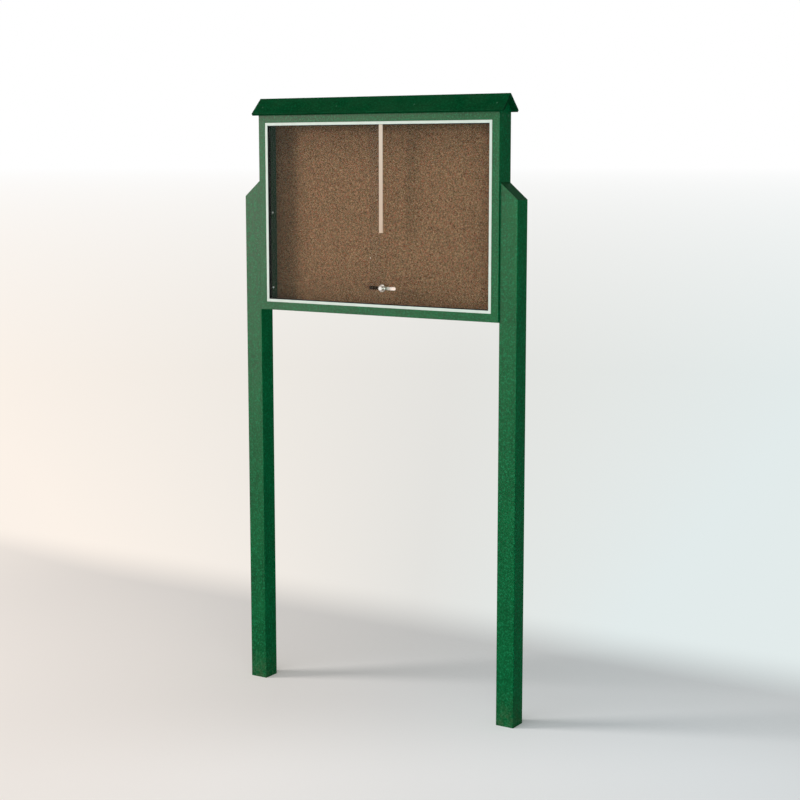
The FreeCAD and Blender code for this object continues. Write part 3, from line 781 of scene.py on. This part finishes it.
def makeClearSheet(look):
    material, tree = newMaterial("clearSheet")
    spot = objectSpot(tree)
    facing = addNode(tree, "ShaderNodeNewGeometry").outputs["True Normal"]
    rim = remap(tree, sums(tree, "ABSOLUTE", axisOf(tree, facing, "Y")), *look["rimY"])
    scratch = placeGroup(tree, hairlines, {"Along": look["scratchAlong"],
                                           "Scale": look["scratchScale"],
                                           "Coverage": look["scratches"]})["Line"]
    smear = remap(tree, noise(tree, spot, look["smearScale"], 4, 0.6), 0.45, 0.75)
    clear = addNode(tree, "ShaderNodeBsdfTransparent", {"Color": look["passed"]}).outputs[0]
    sheen = addNode(tree, "ShaderNodeBsdfPrincipled", {
        "Base Color": look["edge"], "Specular IOR Level": look["edgeSpecular"],
        "Roughness": sums(tree, "MULTIPLY_ADD", smear, look["smearRoughness"],
                          look["edgeRoughness"])}).outputs[0]
    mirror = addNode(tree, "ShaderNodeBsdfAnisotropic", {
        "Roughness": sums(tree, "MULTIPLY_ADD", scratch, look["scratchRoughness"],
                          look["faceRoughness"])}).outputs[0]
    fresnel = addNode(tree, "ShaderNodeFresnel", {"IOR": look["ior"]}).outputs[0]
    share = sums(tree, "MULTIPLY", fresnel, look["gloss"])
    face = addNode(tree, "ShaderNodeMixShader", {0: share, 1: clear, 2: mirror}).outputs[0]
    whole = addNode(tree, "ShaderNodeMixShader", {
        0: sums(tree, "MULTIPLY", rim, look["rim"]), 1: face, 2: sheen}).outputs[0]
    out = tree.nodes.new("ShaderNodeOutputMaterial")
    tree.links.new(whole, out.inputs["Surface"])
    return material


# painted shade: the roof boards are the same plastic as the others, in darker colours for the
# shade on their slopes
shadedRoofLook = {**boardLook, "deep": tone(2, 41, 19), "body": tone(3, 57, 29),
            "fleck": tone(6, 75, 43), "specular": 0.002, "dusting": 0.05}
backLook = {**boardLook, "roughness": (0.4, 0.52), "bump": 0.12}
upAndDown, leftAndRight = (1, 1, 0.06), (0.06, 1, 1)    # the way a board's streaks run

finishes = {
    "post": makeBoard("postBoard", upAndDown, boardLook, sawnTop=True, soiledFoot=True),
    "upright": makeBoard("uprightBoard", upAndDown, boardLook, paintedInnerShade=True),
    "rail": makeBoard("railBoard", leftAndRight, boardLook),
    "roof": makeBoard("roofBoard", leftAndRight, shadedRoofLook),
    "back": makeBoard("backSheet", leftAndRight, backLook),
    "cork": makeCork(corkLook),
    "trim": makeEnamel("whiteEnamel", whiteEnamel),
    "channel": makeEnamel("darkEnamel", darkEnamel),
    "screw": makeEnamel("screwEnamel", screwEnamel),
    "strip": makeVinyl("creamVinyl", creamVinyl),
    "rubber": makeVinyl("darkVinyl", darkVinyl),
    "chrome": makeMetal("platedCase", platedCase),
    "bar": makeMetal("platedBar", platedBar),
    "plug": makeMetal("turnedPlug", turnedPlug),
    "steel": makeMetal("stainless", stainless),
    "brass": makeMetal("stampedBrass", stampedBrass),
    "clear": makeClearSheet(paneLook),
}

nodeFinish = {
    "post": ("post_left", "post_right"),
    "upright": ("side_board_left", "side_board_right"),
    "rail": ("top_rail", "bottom_rail"),
    "roof": ("roof_board_front", "roof_board_rear"),
    "back": ("back_panel",),
    "cork": ("cork_board",),
    "channel": ("track_top", "track_bottom", "jamb_left", "jamb_right"),
    "trim": ("trim_top", "trim_bottom", "trim_left", "trim_right"),
    "rubber": ("bumper_left", "bumper_right", "hook_boot"),
    "clear": ("pane_front", "pane_rear"),
    "strip": ("pull_strip",),
    "bar": ("ratchet_bar",),
    "chrome": ("lock_case", "lock_back_plate"),
    "plug": ("lock_plug",),
    "brass": ("plug_wafers",),
    "steel": ("plug_clip", "lock_pawl"),
}
for finish, names in nodeFinish.items():
    for name in names:
        for place in nodes[name].material_slots:
            place.material = finishes[finish]
for name in nodeFinish["clear"]:
    nodes[name].visible_shadow = False    # lamp light goes straight through to the cork
print("materials on", sum(len(names) for names in nodeFinish.values()), "nodes")


# the screws in their places, read from the frame

def screwSpec(length, shank, head, seed):
    # countersunk, a little proud of the board, six-lobed drive
    top = 0.0004
    land = 0.0002    # flat rim and edge of the head
    return {
        "sides": 18, "length": length, "top": top,
        "driveRadius": 0.42 * head, "driveDepth": 0.45 * head,
        "outline": [(head - land, top), (head, top - land), (shank, top - (head - shank)),
                    (shank, -0.86 * length)],
        "seed": seed, "depthSpread": 0.0003, "lean": 0.02,
    }


lagSpec = {
    "sides": 18, "length": 0.0889, "top": 0.0034,
    "driveRadius": 0.0019, "driveDepth": 0.0018,
    "outline": [(0.0030, 0.0031), (0.0042, 0.0022), (0.00476, 0.0009), (0.00476, 0.0),
                (0.003175, 0.0), (0.003175, -0.078)],
    "headRadius": 0.00476,
    "seed": 4, "depthSpread": 0.0, "lean": 0.0,
}
cornerHead, backHead = 0.0048, 0.0036
cornerSpec = screwSpec(0.080, 0.0024, cornerHead, 1)
backSpec = screwSpec(0.025, 0.0018, backHead, 2)
roofSpec = screwSpec(0.032, 0.0020, 0.0040, 3)
screwPlaces = {
    "backX": (-0.4, 0.0, 0.4),
    "backFromEnd": 0.1795,      # of the opening
    "roofFromEnd": 0.01905,
    "roofFromRidge": 0.042,
}


def ringOf(node, head):
    # centres of the outermost heads of a set, from its box
    low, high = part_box(node)
    return low + Vector((head, head, head)), high - Vector((head, head, head))


def placeAllScrews(finish, lagFinish, spec):
    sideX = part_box("side_board_right")[1].x
    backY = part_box("back_panel")[1].y
    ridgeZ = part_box("roof_board_front")[1].z
    low, high = ringOf("corner_screws", cornerHead)
    places = []
    for side in (-1, 1):
        for y in (low.y, high.y):
            places.append(((side * (sideX - cornerSpec["top"]), y, low.z), (side, 0, 0)))
            places.append(((side * sideX, y, high.z), (side, 0, 0)))
    corner = setScrews("cornerScrews", cornerSpec, places, finish)
    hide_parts("corner_screws")

    low, high = ringOf("back_screws", backHead)
    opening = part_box("cork_board")
    fromEnd = spec["backFromEnd"]
    places = [((x, backY, z), (0, 1, 0)) for x in spec["backX"] for z in (low.z, high.z)]
    places += [((x, backY, z), (0, 1, 0)) for x in (low.x, high.x)
               for z in (opening[0].z + fromEnd, opening[1].z - fromEnd)]
    back = setScrews("backScrews", backSpec, places, finish)
    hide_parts("back_screws")

    endX = sideX - spec["roofFromEnd"]
    fromRidge = spec["roofFromRidge"]
    places = [((x, side * fromRidge, ridgeZ - fromRidge), (0, side, 1)) for side in (-1, 1)
              for x in (-endX, -endX / 3, endX / 3, endX)]
    roof = setScrews("roofScrews", roofSpec, places, finish)
    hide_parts("roof_screws")

    radius = lagSpec["headRadius"]
    for node, side in (("lag_screws_left", 1), ("lag_screws_right", -1)):
        low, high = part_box(node)
        x = (high.x if side > 0 else low.x) - side * lagSpec["top"]
        places = [((x, 0.0, z), (side, 0, 0)) for z in (low.z + radius, high.z - radius)]
        lags = setScrews("postScrewsLeft" if side > 0 else "postScrewsRight", lagSpec, places,
                         lagFinish)
        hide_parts(node)


placeAllScrews(finishes["screw"], finishes["steel"], screwPlaces)
print("screws set")


# studio

studio = {
    "ambient": 0.20,
    # place, aim, size, power and colour of each lamp
    "keyLamp": ((-9.5, -6.2, 4.5), (0.0, 0.0, 1.6), 4.0, 1360.0, (1.0, 0.93, 0.91)),
    "topLamp": ((0.0, -3.0, 8.0), (0.0, 0.0, 1.0), 5.0, 215.0, (0.96, 0.97, 1.0)),
    "sideLamp": ((3.4, -3.4, 1.5), (0.0, 0.0, 1.5), 2.0, 124.0, (0.74, 0.95, 1.0)),
    "glossLamp": ((-4.8, -5.0, 2.6), (0.0, 0.0, 1.6), 3.6, 7300.0, (1.0, 0.67, 0.73)),
    "backLamp": ((-2.6, 6.4, 4.2), (0.0, 0.0, 1.8), 4.0, 420.0, (0.97, 0.98, 1.0)),
    "acrossView": (0.845, 0.535, 0.0),
    "alongView": (-0.535, 0.845, 0.0),
    "floorRadius": 450.0,
    "litFloor": (0.84, 0.83, 0.82, 1.0),     # what it throws back on the object
    # painted light: the paper warmer to the left and cooler to the right
    "warmFloor": (0.86, 0.83, 0.785, 1.0),
    "coolFloor": (0.95, 1.0, 1.015, 1.0),
    "floorSides": (-0.5, 0.4),       # from warm to cool, across the view
    "shadeOver": (-1.1, 0.1),        # from in front of the object to under it, along the view
    "floorShade": (1.05, 0.825),
    "evenShade": 0.965,              # far to the left instead
    "evenSides": (-0.5, -0.2),
    "weaveScale": 120.0,
    "weaveShade": (0.985, 1.0),
    # painted light and shadow on the glowing wall: warm to the left, darker in the middle, cool to
    # the right
    "warmWall": tone(252, 242, 232),
    "midWall": tone(228, 227, 223),
    "coolWall": tone(226, 235, 235),
    "wallSides": (-0.35, 0.05, 0.35),
    "whiteOver": (1.1, 2.66),        # the wall turns white over these powers of ten, in metres
    "wallFoot": (0.75, 1.75),        # the stretch of Y over which the floor passes into the wall
    "glowOver": (2.6, 6.0),          # metres, over which the floor passes into the wall all round
    "floorGlow": 0.2,                # share of the floor near the object that glows like the wall
}


def aimedLamp(name, place, aim, size, power, colour):
    data = bpy.data.lights.new(name, "AREA")
    data.shape = "DISK"
    data.size = size
    data.energy = power
    data.color = colour
    lamp = bpy.data.objects.new(name, data)
    toward = Vector(aim) - Vector(place)
    lamp.matrix_world = (Matrix.Translation(place)
                         @ toward.to_track_quat("-Z", "Y").to_matrix().to_4x4())
    lamp.visible_camera = False
    scene.collection.objects.link(lamp)
    return lamp


def seenDirectly(tree):
    # 1 for what the camera sees, straight or in metal or glass
    path = addNode(tree, "ShaderNodeLightPath").outputs
    straight = sums(tree, "MAXIMUM", path["Is Camera Ray"], path["Is Glossy Ray"])
    return sums(tree, "MAXIMUM", straight, path["Is Transmission Ray"])


def makeWorld(spec):
    world = bpy.data.worlds.new("studio")
    world.use_nodes = True
    tree = world.node_tree
    tree.nodes.clear()
    strength = remap(tree, seenDirectly(tree), 0.0, 1.0, spec["ambient"], 1.0)
    glow = addNode(tree, "ShaderNodeBackground", {"Color": (1, 1, 1, 1), "Strength": strength})
    out = tree.nodes.new("ShaderNodeOutputWorld")
    tree.links.new(glow.outputs[0], out.inputs["Surface"])
    scene.world = world


def makeFloorPaper(spec):
    # plain paper round the object; behind it and further off it glows like a lit wall
    material, tree = newMaterial("floorPaper")
    spot = objectSpot(tree)
    away = vectors(tree, "LENGTH", spot)
    across = vectors(tree, "DOT_PRODUCT", spot, spec["acrossView"])
    along = vectors(tree, "DOT_PRODUCT", spot, spec["alongView"])
    side = sums(tree, "DIVIDE", across, sums(tree, "ADD", away, 2.0))
    # painted light and shadow on the wall: warm to the left, darker in the middle, cool to the
    # right, whiter further off
    warm, middle, cool = spec["wallSides"]
    wall = blendTone(tree, remap(tree, side, warm, middle), spec["warmWall"], spec["midWall"])
    wall = blendTone(tree, remap(tree, side, middle, cool), wall, spec["coolWall"])
    tenfold = sums(tree, "LOGARITHM", away, 10.0)
    wall = blendTone(tree, remap(tree, tenfold, *spec["whiteOver"]), wall, (1, 1, 1, 1))
    weave = remap(tree, noise(tree, spot, spec["weaveScale"], 3, 0.6), 0.3, 0.7,
                  *spec["weaveShade"])
    shade = remap(tree, along, *spec["shadeOver"], *spec["floorShade"], kind="SMOOTHSTEP")
    even = remap(tree, side, *spec["evenSides"], 1.0, 0.0)
    shade = sums(tree, "MULTIPLY_ADD", even, sums(tree, "SUBTRACT", spec["evenShade"], shade),
                 shade)
    # painted light: warm to the left, cool to the right
    paper = blendTone(tree, remap(tree, side, *spec["floorSides"]), spec["warmFloor"],
                      spec["coolFloor"])
    paper = vectors(tree, "MULTIPLY", paper, sums(tree, "MULTIPLY", weave, shade))
    seen = seenDirectly(tree)
    paper = blendTone(tree, seen, spec["litFloor"], paper)
    lit = addNode(tree, "ShaderNodeBsdfDiffuse", {"Color": paper}).outputs[0]
    glow = addNode(tree, "ShaderNodeEmission", {"Color": wall}).outputs[0]
    far = remap(tree, away, *spec["glowOver"], spec["floorGlow"], 1.0, kind="SMOOTHSTEP")
    behind = remap(tree, axisOf(tree, spot, "Y"), *spec["wallFoot"], kind="SMOOTHSTEP")
    share = sums(tree, "MULTIPLY", seen, sums(tree, "MAXIMUM", far, behind))
    both = addNode(tree, "ShaderNodeMixShader", {0: share, 1: lit, 2: glow}).outputs[0]
    out = tree.nodes.new("ShaderNodeOutputMaterial")
    tree.links.new(both, out.inputs["Surface"])
    return material


def makeFloor(spec):
    mesh = bpy.data.meshes.new("floor")
    build = bmesh.new()
    bmesh.ops.create_circle(build, cap_ends=True, segments=96, radius=spec["floorRadius"])
    build.to_mesh(mesh)
    build.free()
    mesh.materials.append(makeFloorPaper(spec))
    floor = bpy.data.objects.new("floor", mesh)
    scene.collection.objects.link(floor)
    return floor


makeWorld(studio)
floor = makeFloor(studio)
lamps = {name: aimedLamp(name, *studio[name])
         for name in ("keyLamp", "topLamp", "sideLamp", "backLamp", "glossLamp")}
# the side and back lamps throw no second shadow or bright patch on the floor
pieces = bpy.data.collections.new("pieces")
for piece in scene.objects:
    if piece.type == "MESH" and piece is not floor:
        pieces.objects.link(piece)
for name in ("sideLamp", "backLamp"):
    lamps[name].light_linking.receiver_collection = pieces
# only a sheen on the boards: this one doesn't brighten what is matt
boards = bpy.data.collections.new("boards")
for finish in ("post", "upright", "rail", "roof", "back"):
    for name in nodeFinish[finish]:
        boards.objects.link(nodes[name])
lamps["glossLamp"].visible_diffuse = False
lamps["glossLamp"].visible_transmission = False
lamps["glossLamp"].light_linking.receiver_collection = boards
print("studio lit")
